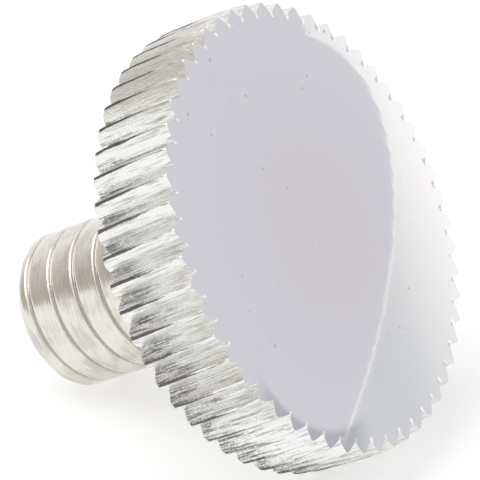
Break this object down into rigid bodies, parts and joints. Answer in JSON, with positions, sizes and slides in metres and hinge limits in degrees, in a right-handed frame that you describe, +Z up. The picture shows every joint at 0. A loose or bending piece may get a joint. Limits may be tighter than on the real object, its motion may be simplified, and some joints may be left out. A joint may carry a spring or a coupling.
{
  "type": "knurled thumb screw",
  "caption": "Thumb screw turned in one piece: a wide flat head with a saw-tooth knurl round its rim, on a short threaded stub, lying on its side.",
  "frame": {"origin": "on the table, under the middle of the screw's box as it lies on its side", "axes": "the screw's axis lies in the XZ plane and rises from the stub's end on -X to the head's face on +X by 31.5 degrees; +Y runs across the head, which is the longest extent; +Z up"},
  "size_m": [0.0114, 0.0118, 0.0112],
  "materials": {
    "plated_steel": "bright nickel plate, polished on the face, coarse on the knurl"
  },
  "bodies": {
    "root": {"thumb_screw": "plated_steel"}
  },
  "joints": []
}
